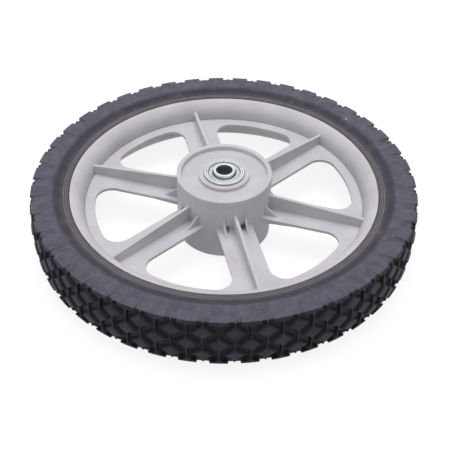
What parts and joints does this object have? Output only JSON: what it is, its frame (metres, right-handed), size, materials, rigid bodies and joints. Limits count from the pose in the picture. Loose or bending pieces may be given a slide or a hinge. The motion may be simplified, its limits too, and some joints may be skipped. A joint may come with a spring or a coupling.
{
  "type": "lawn mower wheel",
  "caption": "Moulded plastic mower wheel with ribbed spokes, a diamond-tread rubber tyre and a flanged ball bearing in each end of the hub.",
  "frame": {"origin": "on the axle's line, in the middle plane of the tyre", "axes": "+Z along the axle, out of the hub face that the picture shows; +X and +Y in the wheel's plane"},
  "size_m": [0.305, 0.305, 0.0604],
  "materials": {
    "tyre": "dull moulded rubber",
    "wheel_plastic": "fine moulded grain",
    "bearing_steel": "zinc plated, turned",
    "shield_steel": "yellowish zinc plate",
    "cage_plastic": "moulded nylon",
    "ball_steel": "polished"
  },
  "bodies": {
    "wheel_and_tyre": {"tyre": "tyre", "wheel": "wheel_plastic", "upper_outer_ring": "bearing_steel", "upper_outer_shield": "shield_steel", "upper_inner_shield": "shield_steel", "lower_outer_ring": "bearing_steel", "lower_outer_shield": "shield_steel", "lower_inner_shield": "shield_steel"},
    "upper_inner_race": {"upper_inner_ring": "bearing_steel"},
    "upper_ball_set": {"upper_ball_cage": "cage_plastic", "upper_ball_1": "ball_steel", "upper_ball_2": "ball_steel", "upper_ball_3": "ball_steel", "upper_ball_4": "ball_steel", "upper_ball_5": "ball_steel", "upper_ball_6": "ball_steel", "upper_ball_7": "ball_steel"},
    "lower_inner_race": {"lower_inner_ring": "bearing_steel"},
    "lower_ball_set": {"lower_ball_cage": "cage_plastic", "lower_ball_1": "ball_steel", "lower_ball_2": "ball_steel", "lower_ball_3": "ball_steel", "lower_ball_4": "ball_steel", "lower_ball_5": "ball_steel", "lower_ball_6": "ball_steel", "lower_ball_7": "ball_steel"}
  },
  "joints": [
    {"name": "upper_bearing_spin", "type": "hinge", "parent": "wheel_and_tyre", "child": "upper_inner_race", "pos_m": [0, 0, 0.02475], "axis": [0, 0, 1], "continuous": true},
    {"name": "upper_ball_orbit", "type": "hinge", "parent": "wheel_and_tyre", "child": "upper_ball_set", "pos_m": [0, 0, 0.02475], "axis": [0, 0, 1], "continuous": true},
    {"name": "lower_bearing_spin", "type": "hinge", "parent": "wheel_and_tyre", "child": "lower_inner_race", "pos_m": [0, 0, -0.02015], "axis": [0, 0, 1], "continuous": true},
    {"name": "lower_ball_orbit", "type": "hinge", "parent": "wheel_and_tyre", "child": "lower_ball_set", "pos_m": [0, 0, -0.02015], "axis": [0, 0, 1], "continuous": true}
  ],
  "couplings": [
    {"joint": "upper_ball_orbit", "follows": "upper_bearing_spin", "ratio": 0.3856},
    {"joint": "lower_ball_orbit", "follows": "lower_bearing_spin", "ratio": 0.3856}
  ]
}
